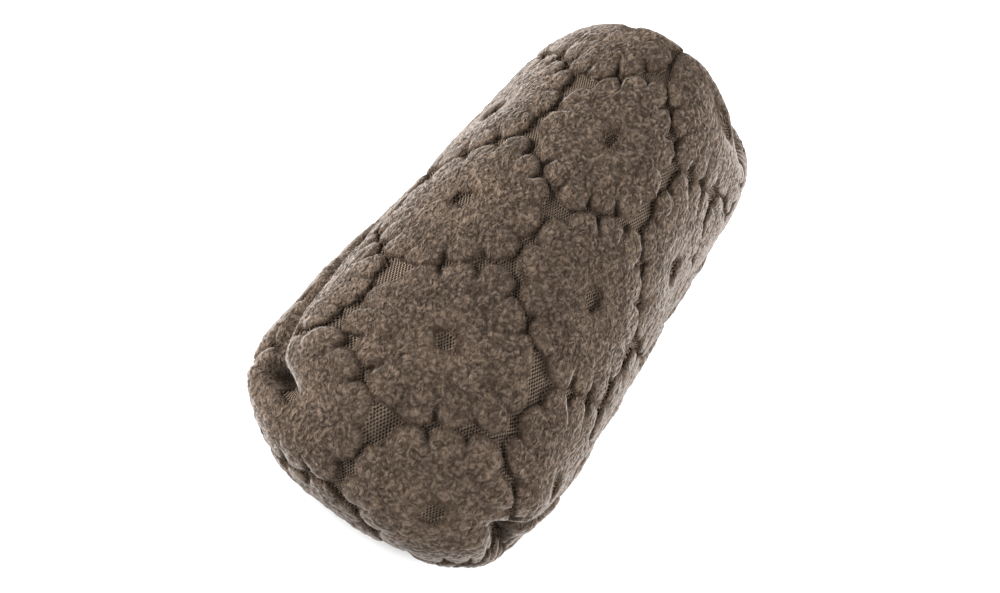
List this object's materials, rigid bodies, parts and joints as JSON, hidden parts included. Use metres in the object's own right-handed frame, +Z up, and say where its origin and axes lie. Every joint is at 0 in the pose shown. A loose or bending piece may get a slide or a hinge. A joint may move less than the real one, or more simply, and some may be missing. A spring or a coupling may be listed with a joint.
{
  "type": "fleece slipper",
  "caption": "Soft taupe fleece slipper sock with a blunt toe, a sculpted flower pile, sunk side seams, a slanted collar and hexagon rubber grips under its padded sole.",
  "frame": {"origin": "middle of the footprint, on the floor that the grips rest on", "axes": "+X from heel to toe, +Y to the wearer's left, +Z up"},
  "size_m": [0.2561, 0.1254, 0.1252],
  "materials": {
    "fleece": "curled sherpa pile on an open knit ground, matt",
    "sole_fleece": "flat fleece panel, matt",
    "grip_rubber": "satin blue-grey rubber with bevelled edges"
  },
  "bodies": {
    "root": {"upper": "fleece", "sole": "sole_fleece", "grip_r1_c1": "grip_rubber", "grip_r1_c2": "grip_rubber", "grip_r1_c3": "grip_rubber", "grip_r1_c4": "grip_rubber", "grip_r1_c5": "grip_rubber", "grip_r2_c1": "grip_rubber", "grip_r2_c2": "grip_rubber", "grip_r2_c3": "grip_rubber", "grip_r2_c4": "grip_rubber", "grip_r2_c5": "grip_rubber", "grip_r3_c1": "grip_rubber", "grip_r3_c2": "grip_rubber", "grip_r3_c3": "grip_rubber", "grip_r3_c4": "grip_rubber", "grip_r3_c5": "grip_rubber"}
  },
  "joints": []
}
